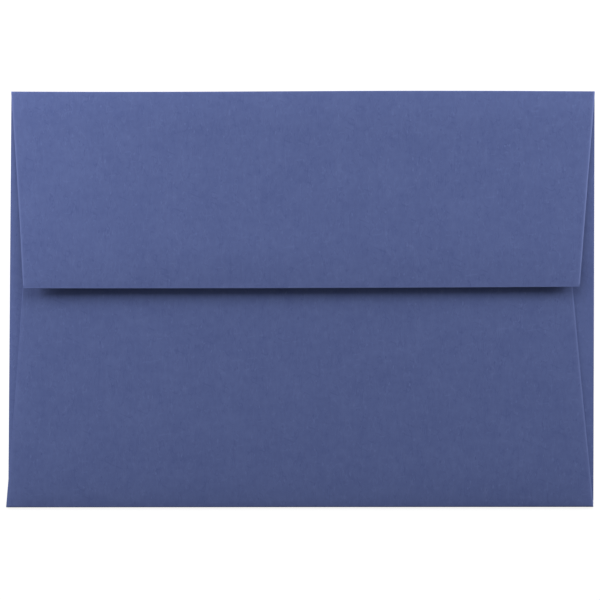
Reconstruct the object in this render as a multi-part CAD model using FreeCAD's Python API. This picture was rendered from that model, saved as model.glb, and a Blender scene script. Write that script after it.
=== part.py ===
import FreeCAD, Part
import math
import os

from FreeCAD import Vector

# A paper envelope, folded from one sheet, in millimetres.
# It lies on its face panel on Z = 0, with its flaps on top. +X runs along the two long folds
# and +Y points to the closure fold. The origin is under the middle of the whole outline.

# Paper
paper_thickness = 0.13

# Body: the folds as they are seen from above
body_height = 92.6
closure_fold_length = 129.82
left_fold_lean = 0.69          # the left side fold runs outward by this on its way down
right_fold_lean = 0.29         # the right side fold runs inward by this on its way down
left_corner_overhang = 0.47    # the bottom flap's corner stands out past the side fold
right_corner_overhang = 0.05
corner_notch = 1.0             # clear length between a side fold's end and a long fold's bend

# Clear gaps between the layers
pocket_gap = 0.24              # face panel to side flap
closure_gap = 0.12             # level of the bottom flap to the closure flap, at the closure fold

# Side flaps
side_flap_width = 16.0
side_flap_lower_slant = 14.0   # degrees between the lower cut edge and the long folds
side_flap_upper_slant = 35.0

# Bottom flap, glued on the side flaps
bottom_flap_height = 58.3
bottom_flap_left_slant = 4.28  # degrees that each side edge leans inward
bottom_flap_right_slant = 5.46
throat_corner_radius = 3.0

# Closure flap: from its fold it rises, runs on and curls down a little at its free edge
closure_flap_length = 43.3
closure_flap_left_slant = 3.67
closure_flap_right_slant = 4.39
closure_rise = 7.0             # degrees above level at the fold
closure_slope = 2.7            # degrees above level in the middle
closure_end_slope = -2.0       # degrees above level at the free edge
closure_ease_length = 8.0      # stretch beside the fold where the rise eases off
closure_curl_length = 10.0     # stretch beside the free edge that curls
trim_margin = 1.0              # how far the flap's trimming block reaches past the sheet

# Outer radii of the bends, so that each layer lies over the one below
side_bend_radius = paper_thickness + pocket_gap / 2
bottom_bend_radius = side_bend_radius + paper_thickness / 2
closure_bend_radius = bottom_bend_radius + (paper_thickness + closure_gap) / 2

UP = Vector(0, 0, 1)
RIGHT = Vector(1, 0, 0)
NORTH = Vector(0, 1, 0)
HALF_TURN = 180.0


def leaning(length, slant):
    """How far an edge moves sideways over a length, at a slant in degrees."""
    return length * math.tan(math.radians(slant))


def outline_corners():
    """Ends of the two long folds, with the middle of the whole outline over the origin."""
    left_bottom = -left_fold_lean - left_corner_overhang
    right_bottom = closure_fold_length - right_fold_lean + right_corner_overhang
    middle = (min(0, left_bottom) + max(closure_fold_length, right_bottom)) / 2
    top = body_height / 2
    return {
        "left top": Vector(-middle, top, 0),
        "right top": Vector(closure_fold_length - middle, top, 0),
        "left bottom": Vector(left_bottom - middle, -top, 0),
        "right bottom": Vector(right_bottom - middle, -top, 0),
    }


def plate(corners, underside, height=paper_thickness):
    """A flat area of the sheet, from its corners in plan and the height of its underside."""
    lifted = [corner + UP * underside for corner in corners]
    return Part.Face(Part.makePolygon(lifted + lifted[:1])).extrude(UP * height)


def direction(across, heading):
    """Unit vector at an angle above the direction across, in the upright plane through it."""
    angle = math.radians(heading)
    return across * math.cos(angle) + UP * math.sin(angle)


def bend(radius, turn):
    """Length and turn of a bend with the given outer radius, along the sheet's middle line."""
    return (radius - paper_thickness / 2) * math.radians(turn), turn


def station(start, heading, across, stretch, share):
    """Point and heading on the sheet's middle line, a share of the way along one stretch."""
    length, turn = stretch
    if turn == 0:
        return start + direction(across, heading) * (length * share), heading
    radius = length / math.radians(turn)
    centre = start - direction(across, heading + 90) * radius
    new_heading = heading - turn * share
    return centre + direction(across, new_heading + 90) * radius, new_heading


def surface_point(place, across, offset):
    """Point off the sheet's middle line: half a thickness outward or inward."""
    point, heading = place
    return point + direction(across, heading + 90) * offset


def surface_line(stations, across, turn, offset):
    """One surface of a stretch in section: a line where it is straight, an arc where it bends."""
    points = [surface_point(place, across, offset) for place in stations]
    if turn == 0:
        return Part.LineSegment(points[0], points[-1]).toShape()
    return Part.Arc(*points).toShape()


def cut_edge(place, across):
    """The line through the sheet's thickness at an end of its section."""
    half = paper_thickness / 2
    ends = [surface_point(place, across, offset) for offset in (-half, half)]
    return Part.LineSegment(*ends).toShape()


def bent_sheet(fold_point, across, along, radius, stretches):
    """A bent part of the sheet, from the face panel outward and over the top.

    fold_point is the fold's outermost point at one end, across points from there over the face
    panel, and along runs the length of the fold. Each stretch of the middle line is a length
    and a turn in degrees.
    """
    half = paper_thickness / 2
    place = (fold_point + across * radius + UP * half, HALF_TURN)
    edges = [cut_edge(place, across)]
    for stretch in stretches:
        stations = [station(*place, across, stretch, share) for share in (0, 0.5, 1)]
        edges += [surface_line(stations, across, stretch[1], offset) for offset in (-half, half)]
        place = stations[-1]
    edges.append(cut_edge(place, across))
    section = Part.Face(Part.Wire(Part.sortEdges(edges)[0]))
    return section.extrude(along)


def side_fold_ends(corners, side):
    """Lower and upper ends of a side fold's outermost line, clear of the two long folds."""
    overhang = left_corner_overhang if side == "left" else -right_corner_overhang
    lower = corners[side + " bottom"] + RIGHT * overhang
    upper = corners[side + " top"]
    run = (upper - lower).normalize()
    lower_stop = (bottom_bend_radius + corner_notch) / run.y
    upper_stop = (closure_bend_radius + corner_notch) / run.y
    return lower + run * lower_stop, upper - run * upper_stop


def side_fold_across(lower, upper, side):
    """Unit vector in plan from a side fold over the face panel, square to the fold."""
    towards_left = UP.cross(upper - lower).normalize()
    return towards_left * (-1 if side == "left" else 1)


def side_flap(corners, side):
    """A side fold with its flap: the flap's two ends are cut on a slant."""
    lower, upper = side_fold_ends(corners, side)
    across = side_fold_across(lower, upper, side)
    run = (upper - lower).normalize()
    bends = [bend(side_bend_radius, HALF_TURN)]
    fold = bent_sheet(lower, across, upper - lower, side_bend_radius, bends)
    width = side_flap_width - side_bend_radius
    outer_lower = lower + across * side_bend_radius
    outer_upper = upper + across * side_bend_radius
    inner_lower = outer_lower + across * width + run * leaning(width, side_flap_lower_slant)
    inner_upper = outer_upper + across * width - run * leaning(width, side_flap_upper_slant)
    underside = 2 * side_bend_radius - paper_thickness
    return [fold, plate([outer_lower, inner_lower, inner_upper, outer_upper], underside)]


def face_panel(corners):
    """The panel underneath, up to where each bend begins, with a notch at each corner."""
    left = side_fold_ends(corners, "left")
    right = side_fold_ends(corners, "right")
    left_inset = side_fold_across(*left, "left") * side_bend_radius
    right_inset = side_fold_across(*right, "right") * side_bend_radius
    return plate([
        corners["left bottom"] + NORTH * bottom_bend_radius,
        corners["right bottom"] + NORTH * bottom_bend_radius,
        right[0],
        right[0] + right_inset,
        right[1] + right_inset,
        right[1],
        corners["right top"] - NORTH * closure_bend_radius,
        corners["left top"] - NORTH * closure_bend_radius,
        left[1],
        left[1] + left_inset,
        left[0] + left_inset,
        left[0],
    ], 0)


def upright_edges_at(solid, places):
    """The solid's upright edges over the given places in plan."""
    found = []
    for edge in solid.Edges:
        spots = [Vector(vertex.X, vertex.Y, 0) for vertex in edge.Vertexes]
        for place in places:
            if max((spot - place).Length for spot in spots) < paper_thickness / 2:
                found.append(edge)
    return found


def bottom_flap(corners):
    """The bottom fold with its flap, which narrows to the throat and has rounded corners there."""
    left, right = corners["left bottom"], corners["right bottom"]
    bends = [bend(bottom_bend_radius, HALF_TURN)]
    fold = bent_sheet(left, NORTH, right - left, bottom_bend_radius, bends)
    rise = bottom_flap_height - bottom_bend_radius
    start_left = left + NORTH * bottom_bend_radius
    start_right = right + NORTH * bottom_bend_radius
    throat_left = start_left + NORTH * rise + RIGHT * leaning(rise, bottom_flap_left_slant)
    throat_right = start_right + NORTH * rise - RIGHT * leaning(rise, bottom_flap_right_slant)
    underside = 2 * bottom_bend_radius - paper_thickness
    flap = plate([start_left, start_right, throat_right, throat_left], underside)
    throat_edges = upright_edges_at(flap, [throat_left, throat_right])
    return [fold, flap.makeFillet(throat_corner_radius, throat_edges)]


def closure_flap(corners):
    """The closure fold with its flap: raised, curled at its free edge, trimmed at its sides."""
    left, right = corners["left top"], corners["right top"]
    stretches = [
        bend(closure_bend_radius, HALF_TURN - closure_rise),
        (closure_ease_length, closure_rise - closure_slope),
        (closure_flap_length - closure_ease_length - closure_curl_length, 0),
        (closure_curl_length, closure_slope - closure_end_slope),
    ]
    sheet = bent_sheet(left, NORTH * -1, right - left, closure_bend_radius, stretches)
    return sheet.common(closure_trim(left, right))


def closure_trim(left, right):
    """Block with the closure flap's plan: its slanted sides start where the bend begins."""
    outline = []
    for reach in (-closure_bend_radius - trim_margin, closure_flap_length + trim_margin):
        row = NORTH * (closure_bend_radius + reach)
        left_point = left - row + RIGHT * leaning(reach, closure_flap_left_slant)
        right_point = right - row - RIGHT * leaning(reach, closure_flap_right_slant)
        outline.append([left_point, right_point])
    (upper_left, upper_right), (lower_left, lower_right) = outline
    corners = [lower_left, lower_right, upper_right, upper_left]
    return plate(corners, -trim_margin, closure_flap_length + trim_margin)


def envelope():
    """The whole folded sheet as one solid."""
    corners = outline_corners()
    areas = side_flap(corners, "left") + side_flap(corners, "right") + bottom_flap(corners)
    areas.append(closure_flap(corners))
    return face_panel(corners).fuse(areas).removeSplitter()


os.makedirs("parts", exist_ok=True)
envelope().exportStep("parts/envelope.step")
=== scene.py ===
import math

import bmesh
import bpy
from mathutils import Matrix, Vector

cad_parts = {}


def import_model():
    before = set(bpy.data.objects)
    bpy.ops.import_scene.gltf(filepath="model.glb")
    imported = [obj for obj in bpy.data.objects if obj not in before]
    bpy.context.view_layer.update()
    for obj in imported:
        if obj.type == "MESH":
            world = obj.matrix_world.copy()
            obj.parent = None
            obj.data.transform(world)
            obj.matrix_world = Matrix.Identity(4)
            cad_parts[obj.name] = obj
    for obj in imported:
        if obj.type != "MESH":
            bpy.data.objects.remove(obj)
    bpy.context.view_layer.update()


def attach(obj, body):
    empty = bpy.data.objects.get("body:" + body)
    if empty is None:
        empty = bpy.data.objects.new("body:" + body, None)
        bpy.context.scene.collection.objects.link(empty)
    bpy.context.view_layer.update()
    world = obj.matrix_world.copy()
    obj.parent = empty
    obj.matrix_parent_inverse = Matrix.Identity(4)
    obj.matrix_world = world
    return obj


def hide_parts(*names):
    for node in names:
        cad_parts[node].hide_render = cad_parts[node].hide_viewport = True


# A blue paper envelope, folded from one sheet, seen from its flap side.
# Lengths are in millimetres in the CAD frame, unless a comment says otherwise, and go to metres
# when the mesh is written. Slants and slopes are in degrees.

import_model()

MM = 0.001
LEFT, RIGHT = -1, 1

# Paper
thickness = 0.13
edge_rounding = 0.02

# Folds in plan
fold_y = 46.3                  # the long folds stand this far from the middle
top_corner_x = {LEFT: -64.35, RIGHT: 65.53}
bottom_corner_x = {LEFT: -65.49, RIGHT: 65.21}
side_fold_bottom_x = {LEFT: -65.05, RIGHT: 65.25}
corner_notch = 1.0             # from a long fold's bend to the end of a side fold
notch_slit = 0.12              # the cut between a side bend's end and the panel's corner
top_fold_wave = 0.12           # the closure fold wanders by this from a straight line
top_fold_wave_length = 140.0
top_fold_wave_start = -5.0
bottom_fold_tilt = 0.0008      # how much the bottom fold moves in y per millimetre of x

# Bends, as radii of the sheet's middle layer
side_bend = 0.08
bottom_bend = 0.21
closure_bend = 0.36
bend_steps = 12

# Levels of the sheet's middle layer
panel_level = thickness / 2
side_flap_level = 0.46
layer_step = 0.18              # from the side flaps up to the bottom flap
side_level_ease = 1.6          # how soon a side flap reaches its level from its fold
bottom_level_ease = 1.8        # the same for the layers beside the bottom fold
body_swell = 0.36              # how far the pocket is puffed up in its middle
swell_ease_sides = 2.9
swell_ease_bottom = 5.0
swell_ease_top = 15.0

# Side flaps
side_flap_width = 15.75
side_flap_lower_slant = 14.0
side_flap_upper_slant = 35.0

# Bottom flap
bottom_flap_length = 57.98
bottom_flap_slant = {LEFT: 4.28, RIGHT: 5.41}
bottom_flap_bow = {LEFT: 0.18, RIGHT: 0.10}
throat_corner_drop = 1.5       # its rounded corners fall this far below the throat
throat_corner_reach = 3.5      # and are this wide
throat_corner_spread = 15.0    # the rows of the mesh draw together over this length
seam_lift = 0.004              # its glued cut edges stand up by this
seam_lift_ease = 0.5

# Closure flap
closure_flap_length = 43.55
closure_flap_slant = {LEFT: 3.76, RIGHT: 4.64}
closure_flap_bow = {LEFT: 0.18, RIGHT: 0.04}
closure_rise = 9.5             # slope above level where its bend ends
closure_slope = 3.02           # the same over most of its length
closure_end_slope = -2.0       # the same at its free edge
closure_corner_slope = {LEFT: 3.5, RIGHT: -0.5}  # the same at the free edge's two corners
closure_corner_sharpness = 8   # how closely that slope keeps to the corners
closure_lean = -0.0013         # the flap's rise changes by this share per millimetre to the right
closure_ease_length = 7.0      # beside the bend, where the rise eases off
closure_curl_length = 10.0     # beside the free edge, where the flap curls
closure_stride = 0.25          # its section is added up in steps of about this length
free_edge_tilt = 0.0029        # how much the free edge moves in y per millimetre of x
free_edge_bow = 0.12           # its ends stand this much nearer to the fold

# Share of their pale colour that cut edges show, in the envelope's left and right half. This pale
# colour is partly the paler fibres of a cut and partly a painted highlight of edges that catch the
# side lamps, which is why the two halves differ.
full_light = {LEFT: 1.0, RIGHT: 1.0}
seam_light = {LEFT: 0.1, RIGHT: 0.8}           # on the bottom flap
closure_side_light = {LEFT: 0.6, RIGHT: 1.0}   # on the closure flap's slanted edges
free_edge_light = {LEFT: 0.1, RIGHT: 0.1}      # on its free edge
free_edge_reach = 0.7          # the free edge's light holds over this length
cut_shares = [1.0, 1.0, 0.8, 0.1]  # how the pale colour fades, by mesh steps from a cut edge

# Mesh: steps on wide areas, and places counted from a cut edge, a fold and the panel's sides
wide_step = 1.8
closure_step = 1.5
cut_edge_places = [0.05, 0.14, 0.4, 1.0, 2.1]
fold_places = [0.3, 0.8, 1.6]
panel_side_places = [0.3, 0.8, 1.4, 2.0, 2.6, 3.2, 3.8, 4.4, 5.0, 5.6, 6.4, 7.6]


def mix(a, b, share):
    """A value between a and b."""
    return a + (b - a) * share


def settle(distance, ease):
    """Goes from 0 to 1 with the distance from an edge, most of it within the ease length."""
    return 1 - math.exp(-max(distance, 0) / ease)


def leaning(length, slant):
    """How far an edge moves sideways over a length."""
    return length * math.tan(math.radians(slant))


def graded(length, step, start_places, end_places):
    """Places from 0 to length: close ones near the two ends and even steps in between."""
    start = [0.0] + start_places
    end = [length] + [length - near for near in end_places]
    middle = end[-1] - start[-1]
    count = max(1, round(middle / step))
    between = [start[-1] + middle * index / count for index in range(1, count)]
    return start + between + end[::-1]


# Plan of the folds

bottom_start = -fold_y + bottom_bend + thickness / 2
top_start = fold_y - closure_bend - thickness / 2
lower_notch = bottom_start + corner_notch
upper_notch = top_start - corner_notch


def top_fold_shift(x):
    """How far the closure fold wanders at x."""
    turn = 2 * math.pi * (x - top_fold_wave_start) / top_fold_wave_length
    return top_fold_wave * math.sin(turn)


def bottom_fold_shift(x):
    """How far the bottom fold is off at x, from a slight tilt."""
    return bottom_fold_tilt * x


def side_fold_x(side, y):
    """Outermost x of a side fold at y."""
    return mix(top_corner_x[side], side_fold_bottom_x[side], (fold_y - y) / (2 * fold_y))


def panel_side_x(side, y):
    """Where a side bend begins at y."""
    return side_fold_x(side, y) - side * (side_bend + thickness / 2)


def ear_x(side, y):
    """Outer end of the panel's corner, beyond a side fold's end."""
    if y > 0:
        return side_fold_x(side, y)
    share = (y - bottom_start) / corner_notch
    return mix(bottom_corner_x[side], side_fold_x(side, y), share)


def panel_x(column, y):
    """x of a column of the mesh on the panel."""
    part, share = column
    if part == "main":
        return mix(panel_side_x(LEFT, y), panel_side_x(RIGHT, y), share)
    return mix(panel_side_x(part, y), ear_x(part, y), share)


def panel_y(x, y):
    """y of a row of the mesh on the panel, moved with the two long folds."""
    share = (y + fold_y) / (2 * fold_y)
    return y + mix(bottom_fold_shift(x), top_fold_shift(x), share)


def side_distance(x, y):
    """How far a place in plan is from the nearer side fold."""
    return min(x - side_fold_x(LEFT, y), side_fold_x(RIGHT, y) - x)


# Levels of the layers over the panel

def swell(x, y):
    """How far the pocket's upper layers are puffed up at a place in plan."""
    parts = [
        settle(side_distance(x, y), swell_ease_sides),
        settle(y - bottom_start, swell_ease_bottom),
        settle(top_start - y, swell_ease_top),
    ]
    return body_swell * math.prod(parts)


def side_layer(x, y):
    """Level of the layer that the side flaps make up, pinched at the folds around it."""
    pinched = panel_level + 2 * side_bend
    from_side = mix(pinched, side_flap_level, settle(side_distance(x, y), side_level_ease))
    under_bottom_fold = panel_level + 2 * bottom_bend - layer_step
    from_bottom = settle(y - bottom_start, bottom_level_ease)
    return mix(under_bottom_fold, from_side, from_bottom) + swell(x, y)


# Places on the sheet's middle layer. Each function that ends in place gives a place in space
# and the same place on the flat sheet, which carries the paper's texture.

def panel_place(column, y):
    x = panel_x(column, y)
    return (x, panel_y(x, y), panel_level), (x, y)


def flap_column_x(column, start_y, left, right):
    """x on a flap whose columns draw together between its two side edges."""
    start_left = ear_x(LEFT, start_y)
    start_right = ear_x(RIGHT, start_y)
    share = (panel_x(column, start_y) - start_left) / (start_right - start_left)
    return mix(left, right, share)


def flap_side_inset(slant, bow, along, length):
    """How far a flap's slanted and slightly bowed side edge stands in, a distance along it."""
    return leaning(along, slant) + bow * math.sin(math.pi * along / length)


def bottom_bend_place(column, turn):
    x = panel_x(column, bottom_start)
    y = panel_y(x, bottom_start) - bottom_bend * math.sin(turn)
    z = panel_level + bottom_bend * (1 - math.cos(turn))
    return (x, y, z), (x, bottom_start - bottom_bend * turn)


def bottom_flap_side(side, along):
    """x of a side edge of the bottom flap, a distance along it from its fold."""
    slant, bow = bottom_flap_slant[side], bottom_flap_bow[side]
    return bottom_corner_x[side] - side * flap_side_inset(slant, bow, along, bottom_flap_length)


def throat_drop(distance):
    """How far a rounded corner falls below the throat, by the distance from the side edge."""
    return throat_corner_drop * max(0.0, 1 - distance / throat_corner_reach) ** 2


def bottom_flap_place(column, along):
    left = bottom_flap_side(LEFT, along)
    right = bottom_flap_side(RIGHT, along)
    x = flap_column_x(column, bottom_start, left, right)
    inside = min(x - left, right - x)
    throat_share = max(0.0, 1 - (bottom_flap_length - along) / throat_corner_spread)
    along_here = along - throat_drop(inside) * throat_share ** 2
    y = bottom_start + bottom_fold_shift(x) + along_here
    lift = seam_lift * math.exp(-inside / seam_lift_ease) * settle(along, bottom_level_ease)
    z = side_layer(x, y) + layer_step + lift
    return (x, y, z), (x, bottom_start - bottom_bend * math.pi - along_here)


closure_turn = math.pi - math.radians(closure_rise)
closure_bend_end_y = top_start + closure_bend * math.sin(closure_turn)
closure_bend_end_z = panel_level + closure_bend * (1 - math.cos(closure_turn))


def closure_bend_place(column, turn):
    x = panel_x(column, top_start)
    y = panel_y(x, top_start) + closure_bend * math.sin(turn)
    z = panel_level + closure_bend * (1 - math.cos(turn))
    return (x, y, z), (x, top_start + closure_bend * turn)


def closure_flap_side(side, along):
    """x of a side edge of the closure flap, a distance along it from its fold."""
    slant, bow = closure_flap_slant[side], closure_flap_bow[side]
    return top_corner_x[side] - side * flap_side_inset(slant, bow, along, closure_flap_length)


def closure_heading(along, end_slope):
    """Angle above level of the closure flap, in radians, a distance along it from its bend."""
    curl_start = closure_flap_length - closure_curl_length
    if along < closure_ease_length:
        degrees = mix(closure_rise, closure_slope, along / closure_ease_length)
    elif along < curl_start:
        degrees = closure_slope
    else:
        degrees = mix(closure_slope, end_slope, (along - curl_start) / closure_curl_length)
    return math.radians(degrees)


def closure_profile(along, end_slope):
    """How far the closure flap reaches and rises over a distance along it."""
    steps = max(1, round(along / closure_stride))
    stride = along / steps
    middles = [stride * (index + 0.5) for index in range(steps)]
    headings = [closure_heading(middle, end_slope) for middle in middles]
    reach = sum(math.cos(heading) for heading in headings) * stride
    rise = sum(math.sin(heading) for heading in headings) * stride
    return reach, rise


def free_edge_shift(x, edge_share):
    """How far the free edge is off in y at x, from its tilt and its bow."""
    return free_edge_tilt * x + free_edge_bow * edge_share ** 2


def closure_flap_place(column, along):
    left = closure_flap_side(LEFT, along)
    right = closure_flap_side(RIGHT, along)
    x = flap_column_x(column, top_start, left, right)
    side, edge = (LEFT, left) if x < 0 else (RIGHT, right)
    corner_share = (x / edge) ** closure_corner_sharpness
    end_slope = mix(closure_end_slope, closure_corner_slope[side], corner_share)
    reach, rise = closure_profile(along, end_slope)
    share = along / closure_flap_length
    shift = mix(top_fold_shift(x), free_edge_shift(x, x / right), share)
    y = closure_bend_end_y - reach + shift
    z = closure_bend_end_z + rise * (1 + closure_lean * x)
    return (x, y, z), (x, top_start + closure_bend * closure_turn + along)


def slanted_y(y, lower, upper):
    """y between two new ends, at the share of the way that y has between the notches."""
    return mix(lower, upper, (y - lower_notch) / (upper_notch - lower_notch))


def side_bend_place(side, y, turn):
    slit = notch_slit * math.sin(min(turn, math.pi / 2))
    flat_y = slanted_y(y, lower_notch + slit, upper_notch - slit)
    start = panel_side_x(side, flat_y)
    x = start + side * side_bend * math.sin(turn)
    z = panel_level + side_bend * (1 - math.cos(turn))
    return (x, panel_y(x, flat_y), z), (start + side * side_bend * turn, flat_y)


def side_flap_place(side, y, inward):
    start = panel_side_x(side, y)
    lower = lower_notch + notch_slit + leaning(inward, side_flap_lower_slant)
    upper = upper_notch - notch_slit - leaning(inward, side_flap_upper_slant)
    flat_y = slanted_y(y, lower, upper)
    x = start - side * inward
    z = mix(panel_level + 2 * side_bend, side_layer(x, flat_y), settle(inward, side_bend))
    return (x, panel_y(x, flat_y), z), (start + side * (side_bend * math.pi + inward), flat_y)


# The sheet's middle layer, as rows of points. A column of the mesh is a part of the panel, which
# is main or the corner at one side, and a share of the way across that part.

def column_list():
    """Columns of the left corner, of the panel between the side folds and of the right corner."""
    width = panel_side_x(RIGHT, 0) - panel_side_x(LEFT, 0)
    places = graded(width, wide_step, panel_side_places, panel_side_places)
    main = [("main", place / width) for place in places]
    ear_width = abs(ear_x(LEFT, top_start) - panel_side_x(LEFT, top_start))
    shares = [1 - near / ear_width for near in (0.0, *cut_edge_places) if near < ear_width / 2]
    left = [(LEFT, share) for share in shares]
    right = [(RIGHT, share) for share in shares[::-1]]
    return left, main, right


def column_side(column):
    """The side of the envelope that a column is nearer to."""
    part, share = column
    if part == "main":
        return LEFT if share < 0.5 else RIGHT
    return part


class Sheet:
    """Gathers the points and faces of the sheet's middle layer."""

    def __init__(self):
        self.places = []
        self.flat = []
        self.fold_share = []
        self.edge_share = []
        self.faces = []

    def add(self, place_and_flat, fold_share=0.0, edge_share=1.0):
        """One point, with its shares of the folds' and the cut edges' paler colours, which are
        partly wear and partly painted highlight.
        """
        place, flat = place_and_flat
        self.places.append(place)
        self.flat.append(flat)
        self.fold_share.append(fold_share)
        self.edge_share.append(edge_share)
        return len(self.places) - 1

    def row(self, columns, maker, value, fold_share=0.0, light=full_light):
        """Points of one row, across the columns at one value of the maker's distance or turn."""
        return [
            self.add(maker(column, value), fold_share, light[column_side(column)])
            for column in columns
        ]

    def fill(self, rows, turned=False):
        """Faces between neighbouring rows of point numbers, each row of one length."""
        for lower, upper in zip(rows, rows[1:]):
            for index in range(len(lower) - 1):
                face = (lower[index], lower[index + 1], upper[index + 1], upper[index])
                self.faces.append(face[::-1] if turned else face)


def turns(total):
    """Steps of a bend, without its two ends."""
    return [total * index / bend_steps for index in range(1, bend_steps)]


def corner_rows(sheet, columns):
    """Rows of the panel beside the two long folds, up to the notches."""
    near_notch = [place for place in cut_edge_places if place < corner_notch / 2]
    places = graded(corner_notch, corner_notch / 2, [], near_notch)
    lower = [sheet.row(columns, panel_place, bottom_start + place) for place in places]
    upper = [sheet.row(columns, panel_place, top_start - place) for place in places[::-1]]
    return lower, upper


def bottom_rows(sheet, columns):
    """Rows of the bottom fold's bend and of its flap, outward from the panel."""
    bend = [
        sheet.row(columns, bottom_bend_place, turn, fold_share=math.sin(turn))
        for turn in turns(math.pi)
    ]
    places = graded(bottom_flap_length, wide_step, fold_places, cut_edge_places)
    flap = [sheet.row(columns, bottom_flap_place, place, light=seam_light) for place in places]
    return bend + flap


def closure_rows(sheet, columns):
    """Rows of the closure fold's bend and of its flap, outward from the panel."""
    rows = [
        sheet.row(columns, closure_bend_place, turn, fold_share=math.sin(turn))
        for turn in turns(closure_turn)
    ]
    for place in graded(closure_flap_length, closure_step, fold_places, cut_edge_places):
        by_free_edge = place > closure_flap_length - free_edge_reach
        light = free_edge_light if by_free_edge else closure_side_light
        rows.append(sheet.row(columns, closure_flap_place, place, light=light))
    return rows


def side_rows(sheet, side, heights, starts):
    """Rows of a side fold's bend and of its flap, inward from the panel's points at that side."""
    places = graded(side_flap_width, wide_step, fold_places, cut_edge_places)
    rows = []
    for y, start in zip(heights, starts):
        bend = [sheet.add(side_bend_place(side, y, turn), math.sin(turn)) for turn in turns(math.pi)]
        flap = [sheet.add(side_flap_place(side, y, place)) for place in places]
        rows.append([start] + bend + flap)
    return rows


def middle_layer():
    """The whole folded sheet without its thickness."""
    sheet = Sheet()
    left, main, right = column_list()
    columns = left + main + right
    lower, upper = corner_rows(sheet, columns)

    between = graded(upper_notch - lower_notch, wide_step, cut_edge_places, cut_edge_places)
    heights = [lower_notch + place for place in between[1:-1]]
    body = [sheet.row(main, panel_place, y) for y in heights]

    sheet.fill(bottom_rows(sheet, columns)[::-1] + lower)
    sheet.fill(upper + closure_rows(sheet, columns))
    inner = slice(len(left), len(left) + len(main))
    body = [lower[-1][inner]] + body + [upper[0][inner]]
    sheet.fill(body)

    heights = [lower_notch] + heights + [upper_notch]
    sheet.fill(side_rows(sheet, LEFT, heights, [row[0] for row in body]), turned=True)
    sheet.fill(side_rows(sheet, RIGHT, heights, [row[-1] for row in body]))
    return sheet


# The sheet with its thickness. The middle layer's normals point to the envelope's inside.

inner_mark, outer_mark = 0.0, 40.0  # third texture coordinate of the sheet's two faces
shortest_outward = 0.1         # directions that add up to less than this face each other


def mesh_of(sheet):
    """The middle layer as an editable mesh."""
    middle = bmesh.new()
    for place in sheet.places:
        middle.verts.new(place)
    middle.verts.ensure_lookup_table()
    for face in sheet.faces:
        middle.faces.new([middle.verts[index] for index in face])
    middle.normal_update()
    middle.verts.index_update()
    return middle


def edge_layers(middle):
    """For points near a cut edge, how many steps of the mesh they are from it."""
    layers = {vert: 0 for vert in middle.verts if vert.is_boundary}
    front = list(layers)
    for depth in range(1, len(cut_shares)):
        following = []
        for vert in front:
            for edge in vert.link_edges:
                other = edge.other_vert(vert)
                if other not in layers:
                    layers[other] = depth
                    following.append(other)
        front = following
    return layers


def outward(vert):
    """Unit vector in the sheet, out past a cut edge, or none where two edges face each other."""
    total = Vector((0, 0, 0))
    for edge in vert.link_edges:
        if not edge.is_boundary:
            continue
        face = edge.link_faces[0]
        along = edge.verts[1].co - edge.verts[0].co
        side = along.cross(face.normal).normalized()
        middle = (edge.verts[0].co + edge.verts[1].co) / 2
        if side.dot(face.calc_center_median() - middle) > 0:
            side.negate()
        total += side
    return total.normalized() if total.length > shortest_outward else Vector((0, 0, 0))


class Skin:
    """The two faces of the sheet and its rounded cut edges, as points and faces."""

    def __init__(self, sheet, middle):
        self.sheet = sheet
        self.layers = edge_layers(middle)
        self.outward = {vert: outward(vert) for vert in middle.verts if vert.is_boundary}
        self.points = []
        self.blank = []
        self.wear_and_highlight = []
        self.faces = []
        self.rings = {}

    def add(self, vert, inward, inset, mark):
        """A point at one side of the middle layer, drawn in from a cut edge by the inset."""
        point = vert.co + vert.normal * inward - self.outward.get(vert, Vector()) * inset
        self.points.append(point * MM)
        self.blank.append((*self.sheet.flat[vert.index], mark))
        layer = self.layers.get(vert)
        cut_share = 0.0 if layer is None else cut_shares[layer]
        edge_share = cut_share * self.sheet.edge_share[vert.index]
        # Shares of the cut edges' and folds' pale colour, partly wear and partly painted highlight
        self.wear_and_highlight.append((edge_share, self.sheet.fold_share[vert.index], 0.0))
        return len(self.points) - 1

    def add_points(self, middle):
        """A ring of points for each point of the middle layer, of four at a cut edge."""
        half = thickness / 2
        for vert in middle.verts:
            inset = edge_rounding if vert in self.outward else 0.0
            inner = self.add(vert, half, inset, inner_mark)
            outer = self.add(vert, -half, inset, outer_mark)
            self.rings[vert] = [inner, outer]
        for vert in self.outward:
            inner, outer = self.rings[vert]
            inner_rim = self.add(vert, half - edge_rounding, 0.0, inner_mark)
            outer_rim = self.add(vert, edge_rounding - half, 0.0, outer_mark)
            self.rings[vert] = [inner, inner_rim, outer_rim, outer]

    def add_faces(self, middle):
        """The inner and outer face at each face of the middle layer, then the cut edges."""
        for face in middle.faces:
            self.faces.append([self.rings[vert][0] for vert in face.verts])
            self.faces.append([self.rings[vert][-1] for vert in face.verts][::-1])
        for face in middle.faces:
            for loop in face.loops:
                if loop.edge.is_boundary:
                    self.add_cut_edge(loop.vert, loop.link_loop_next.vert)

    def add_cut_edge(self, start_vert, end_vert):
        start, end = self.rings[start_vert], self.rings[end_vert]
        for index in range(len(start) - 1):
            self.faces.append([start[index], start[index + 1], end[index + 1], end[index]])


def add_vectors(mesh, name, values):
    """A vector for each point of the mesh, for the material to read by its name."""
    attribute = mesh.attributes.new(name, "FLOAT_VECTOR", "POINT")
    attribute.data.foreach_set("vector", [number for value in values for number in value])


def thick_sheet(sheet, name):
    """The sheet as one closed mesh with its thickness."""
    middle = mesh_of(sheet)
    skin = Skin(sheet, middle)
    skin.add_points(middle)
    skin.add_faces(middle)
    middle.free()

    mesh = bpy.data.meshes.new(name)
    mesh.from_pydata(skin.points, [], skin.faces)
    mesh.validate()
    mesh.polygons.foreach_set("use_smooth", [True] * len(mesh.polygons))
    add_vectors(mesh, "blank", skin.blank)
    add_vectors(mesh, "wear_and_highlight", skin.wear_and_highlight)
    mesh.update()
    return mesh


# Paper: its colours, and a texture laid out on the flat sheet in millimetres

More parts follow.
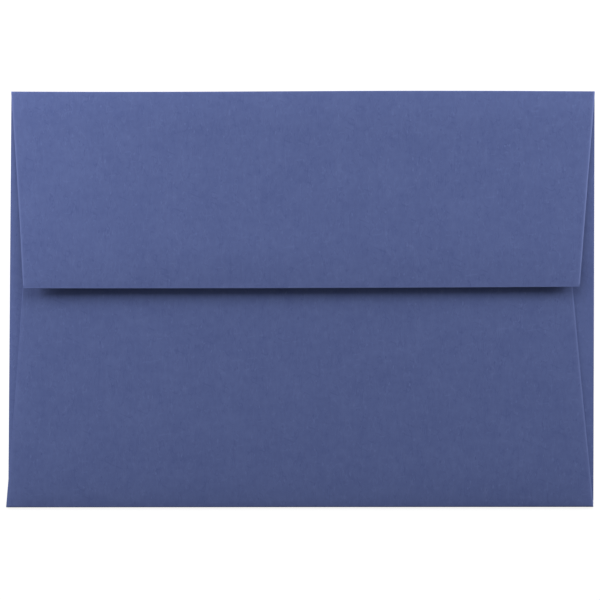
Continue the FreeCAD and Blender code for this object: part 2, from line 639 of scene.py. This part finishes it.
paper_dark = (0.0680, 0.0936, 0.2395, 1)
paper_light = (0.0959, 0.1279, 0.2945, 1)
# Cut edges: partly paler cut fibres, partly a painted highlight of the rounded rim catching the side
# lamps
cut_edge_pale_and_highlight_colour = (0.150, 0.190, 0.405, 1)
# Folds: partly wear, partly a painted highlight where the rounded fold faces the lamps
fold_wear_and_highlight_colour = (0.125, 0.160, 0.345, 1)
fold_wear_and_highlight_share = 0.12

noise_span = (0.3, 0.7)        # most of a noise lies between these
clouds_noise = {"scale": 0.13, "detail": 2.0, "roughness": 0.6}
mottle_noise = {"scale": 0.55, "detail": 2.0, "roughness": 0.65}
grain_turn = 4                 # degrees, as for the other turns
grain_stretch = (1.4, 0.5)

fibre_stretch = (1.1, 0.42)
fibre_middle = 0.5             # a fibre lies where a noise crosses this
fibre_edge = (0.040, 0.005)    # it fades in as the noise comes this near
fibre_patch_scale = 0.55
fibre_patch_edge = (0.49, 0.57)
light_fibre_turn = 3
dark_fibre_turn = -9
dark_fibre_offset = 70

dust_turn = 6
dust_stretch = (2.0, 0.8)
dust_patch_noise = {"scale": 0.3, "detail": 1.0}
dust_patch_edge = (0.50, 0.60)
light_speck_edge = (0.73, 0.83)
dark_speck_edge = (0.25, 0.17)

# Weights of the texture's parts in the paper's lightness and in its relief
broad_tone = {"clouds": 0.28, "mottle": 0.38, "grain": 0.24}
fine_tone = {"light_fibres": 0.36, "light_specks": 2.0, "dark_fibres": -0.36, "dark_specks": -1.2}
relief = {"clouds": 1.2, "mottle": 0.6, "grain": 0.18, "light_fibres": 0.12, "dark_fibres": -0.12}
relief_height = 0.00003        # metres
roughness_range = (0.78, 0.92)
specular_level = 0.25

# Socket numbers of a colour mix node, whose names are not unique
MIX_SHARE, MIX_FIRST, MIX_SECOND, MIX_RESULT = 0, 6, 7, 2


class Nodes:
    """Short ways to add and link shader nodes."""

    def __init__(self, tree):
        self.tree = tree
        tree.nodes.clear()

    def add(self, kind, **settings):
        node = self.tree.nodes.new(kind)
        for key, value in settings.items():
            setattr(node, key, value)
        return node

    def link(self, output, target):
        self.tree.links.new(output, target)

    def set(self, node, name, value):
        """Links a socket to an output, or gives it a constant."""
        if isinstance(value, bpy.types.NodeSocket):
            self.link(value, node.inputs[name])
        else:
            node.inputs[name].default_value = value

    def math(self, operation, first, second=0.0):
        node = self.add("ShaderNodeMath", operation=operation)
        self.set(node, 0, first)
        self.set(node, 1, second)
        return node.outputs["Value"]

    def weighted_sum(self, terms):
        """The sum of values, each times its weight."""
        parts = [self.math("MULTIPLY", value, weight) for value, weight in terms]
        total = parts[0]
        for part in parts[1:]:
            total = self.math("ADD", total, part)
        return total

    def ramp(self, value, span, new_span=(0.0, 1.0)):
        """The value carried from one span to another, and kept within it."""
        node = self.add("ShaderNodeMapRange")
        self.set(node, "Value", value)
        self.set(node, "From Min", span[0])
        self.set(node, "From Max", span[1])
        self.set(node, "To Min", new_span[0])
        self.set(node, "To Max", new_span[1])
        return node.outputs["Result"]

    def noise(self, vector, scale=1.0, detail=0.0, roughness=0.5):
        node = self.add("ShaderNodeTexNoise")
        self.set(node, "Vector", vector)
        self.set(node, "Scale", scale)
        self.set(node, "Detail", detail)
        self.set(node, "Roughness", roughness)
        return node.outputs["Fac"]

    def stretched(self, vector, turn, stretch):
        """The vector turned, then stretched so that a texture's grains come out long."""
        node = self.add("ShaderNodeMapping")
        self.set(node, "Vector", vector)
        self.set(node, "Rotation", (0, 0, math.radians(turn)))
        self.set(node, "Scale", (*stretch, 1))
        return node.outputs["Vector"]

    def moved(self, vector, offset):
        node = self.add("ShaderNodeVectorMath", operation="ADD")
        self.set(node, 0, vector)
        self.set(node, 1, (offset, offset, 0))
        return node.outputs["Vector"]

    def mixed(self, share, first, second):
        node = self.add("ShaderNodeMix", data_type="RGBA")
        self.set(node, MIX_SHARE, share)
        self.set(node, MIX_FIRST, first)
        self.set(node, MIX_SECOND, second)
        return node.outputs[MIX_RESULT]


def fibre_lines(nodes, blank, turn, offset):
    """Short curly fibres: thin lines where a noise crosses its middle, kept in patches only."""
    place = nodes.stretched(nodes.moved(blank, offset), turn, fibre_stretch)
    away = nodes.math("ABSOLUTE", nodes.math("SUBTRACT", nodes.noise(place), fibre_middle))
    patches = nodes.ramp(nodes.noise(place, fibre_patch_scale), fibre_patch_edge)
    return nodes.math("MULTIPLY", nodes.ramp(away, fibre_edge), patches)


def paper_texture(nodes, blank):
    """The parts of the paper's texture, by name."""
    dust = nodes.noise(nodes.stretched(blank, dust_turn, dust_stretch))
    dusty = nodes.ramp(nodes.noise(blank, **dust_patch_noise), dust_patch_edge)
    return {
        "clouds": nodes.noise(blank, **clouds_noise),
        "mottle": nodes.noise(blank, **mottle_noise),
        "grain": nodes.noise(nodes.stretched(blank, grain_turn, grain_stretch)),
        "light_fibres": fibre_lines(nodes, blank, light_fibre_turn, 0),
        "dark_fibres": fibre_lines(nodes, blank, dark_fibre_turn, dark_fibre_offset),
        "light_specks": nodes.math("MULTIPLY", nodes.ramp(dust, light_speck_edge), dusty),
        "dark_specks": nodes.math("MULTIPLY", nodes.ramp(dust, dark_speck_edge), dusty),
    }


def paper_colour(nodes, texture):
    """The paper's colour, paler along its folds and on its cut edges, partly from wear and pale cut
    fibres and partly as painted highlight.
    """
    terms = [
        (nodes.ramp(texture[name], noise_span), weight) for name, weight in broad_tone.items()
    ]
    terms += [(texture[name], weight) for name, weight in fine_tone.items()]
    colour = nodes.mixed(nodes.weighted_sum(terms), paper_dark, paper_light)

    wear_and_highlight = nodes.add("ShaderNodeAttribute", attribute_name="wear_and_highlight").outputs["Vector"]
    parts = nodes.add("ShaderNodeSeparateXYZ")
    nodes.link(wear_and_highlight, parts.inputs[0])
    # The folds' and cut edges' paler colours are partly wear and partly painted highlight
    fold_share = nodes.math("MULTIPLY", parts.outputs["Y"], fold_wear_and_highlight_share)
    colour = nodes.mixed(fold_share, colour, fold_wear_and_highlight_colour)
    return nodes.mixed(parts.outputs["X"], colour, cut_edge_pale_and_highlight_colour)


def paper_normal(nodes, texture):
    """The slight unevenness of the paper's surface."""
    bump = nodes.add("ShaderNodeBump")
    terms = [(texture[name], weight) for name, weight in relief.items()]
    nodes.set(bump, "Height", nodes.weighted_sum(terms))
    nodes.set(bump, "Strength", 1.0)
    nodes.set(bump, "Distance", relief_height)
    return bump.outputs["Normal"]


def paper_material():
    material = bpy.data.materials.new("blue_uncoated_paper")
    material.use_nodes = True
    nodes = Nodes(material.node_tree)
    blank = nodes.add("ShaderNodeAttribute", attribute_name="blank").outputs["Vector"]
    texture = paper_texture(nodes, blank)
    shader = nodes.add("ShaderNodeBsdfPrincipled")
    nodes.set(shader, "Base Color", paper_colour(nodes, texture))
    nodes.set(shader, "Roughness", nodes.ramp(texture["grain"], noise_span, roughness_range))
    nodes.set(shader, "Normal", paper_normal(nodes, texture))
    nodes.set(shader, "Specular IOR Level", specular_level)
    output = nodes.add("ShaderNodeOutputMaterial")
    nodes.link(shader.outputs["BSDF"], output.inputs["Surface"])
    return material


def envelope():
    mesh = thick_sheet(middle_layer(), "folded_sheet")
    piece = bpy.data.objects.new("folded_sheet", mesh)
    bpy.context.scene.collection.objects.link(piece)
    mesh.materials.append(paper_material())
    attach(piece, "root")
    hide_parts("envelope")


# Surroundings: floor, world, lamps and camera, with floor and lamps in metres

floor_colour = (0.25, 0.25, 0.25, 1)
floor_glow = 0.86              # how bright the floor looks to the camera, where 1 is white
floor_reach = 2.0
floor_level = -0.00002
world_colour = (1, 1, 1, 1)
world_level = 0.22             # how strongly the world lights the object


def seen_directly(nodes):
    """1 for rays from the camera, or seen in gloss or glass, and 0 for the object's light."""
    path = nodes.add("ShaderNodeLightPath")
    shown = nodes.math("MAXIMUM", path.outputs["Is Camera Ray"], path.outputs["Is Glossy Ray"])
    return nodes.math("MAXIMUM", shown, path.outputs["Is Transmission Ray"])


def floor_material():
    """A matt floor that takes the object's shadow, with a glow that lights nothing else."""
    material = bpy.data.materials.new("pale_floor")
    material.use_nodes = True
    nodes = Nodes(material.node_tree)
    matt = nodes.add("ShaderNodeBsdfDiffuse")
    nodes.set(matt, "Color", floor_colour)
    glow = nodes.add("ShaderNodeEmission")
    nodes.set(glow, "Strength", nodes.math("MULTIPLY", seen_directly(nodes), floor_glow))
    both = nodes.add("ShaderNodeAddShader")
    nodes.link(matt.outputs[0], both.inputs[0])
    nodes.link(glow.outputs[0], both.inputs[1])
    output = nodes.add("ShaderNodeOutputMaterial")
    nodes.link(both.outputs[0], output.inputs["Surface"])
    return material


def floor():
    corner_signs = ((-1, -1), (1, -1), (1, 1), (-1, 1))
    corners = [(x * floor_reach, y * floor_reach, floor_level) for x, y in corner_signs]
    mesh = bpy.data.meshes.new("floor")
    mesh.from_pydata(corners, [], [(0, 1, 2, 3)])
    plane = bpy.data.objects.new("floor", mesh)
    bpy.context.scene.collection.objects.link(plane)
    mesh.materials.append(floor_material())


def world():
    """A dim white world for the object's light, which the camera sees as plain white."""
    made = bpy.data.worlds.new("studio")
    made.use_nodes = True
    nodes = Nodes(made.node_tree)
    lighting = nodes.add("ShaderNodeBackground")
    nodes.set(lighting, "Strength", world_level)
    shown = nodes.add("ShaderNodeBackground")
    for background in (lighting, shown):
        nodes.set(background, "Color", world_colour)
    both = nodes.add("ShaderNodeMixShader")
    nodes.link(seen_directly(nodes), both.inputs[0])
    nodes.link(lighting.outputs[0], both.inputs[1])
    nodes.link(shown.outputs[0], both.inputs[2])
    output = nodes.add("ShaderNodeOutputWorld")
    nodes.link(both.outputs[0], output.inputs["Surface"])
    bpy.context.scene.world = made


def lamp(name, north_of_east, elevation, distance, size, share):
    """A soft round lamp that gives a share of full light at the middle of the envelope."""
    heading, height = math.radians(north_of_east), math.radians(elevation)
    east = math.cos(heading) * math.cos(height)
    north = math.sin(heading) * math.cos(height)
    back = Vector((east, north, math.sin(height)))
    data = bpy.data.lights.new(name, "AREA")
    data.shape = "DISK"
    data.size = size
    data.energy = share * math.pi ** 2 * distance ** 2 / math.sin(height)
    item = bpy.data.objects.new(name, data)
    item.location = back * distance
    item.rotation_euler = back.to_track_quat("Z", "Y").to_euler()
    bpy.context.scene.collection.objects.link(item)


def lamps():
    lamp("west_lamp", north_of_east=158, elevation=20.5, distance=0.26, size=0.093, share=0.242)
    lamp("east_lamp", north_of_east=22, elevation=19, distance=0.30, size=0.10, share=0.186)
    lamp("high_north_lamp", north_of_east=90, elevation=55, distance=0.38, size=0.12, share=0.055)
    lamp("north_lamp", north_of_east=90, elevation=24, distance=0.40, size=0.34, share=0.215)


# The picture: its 600 pixels show this width of the envelope, seen straight from above
picture_width = 133.58
camera_distance = 900.0
camera_centre = (-0.08, -0.18, 0.3)
sensor_width = 36.0
clip_start = 0.01              # metres


def camera():
    data = bpy.data.cameras.new("camera")
    data.sensor_width = sensor_width
    data.lens = sensor_width * camera_distance / picture_width
    data.clip_start = clip_start
    item = bpy.data.objects.new("camera", data)
    x, y, z = camera_centre
    item.location = Vector((x, y, z + camera_distance)) * MM
    bpy.context.scene.collection.objects.link(item)
    bpy.context.scene.camera = item


envelope()
floor()
world()
lamps()
camera()
bpy.context.scene.view_settings.view_transform = "Standard"
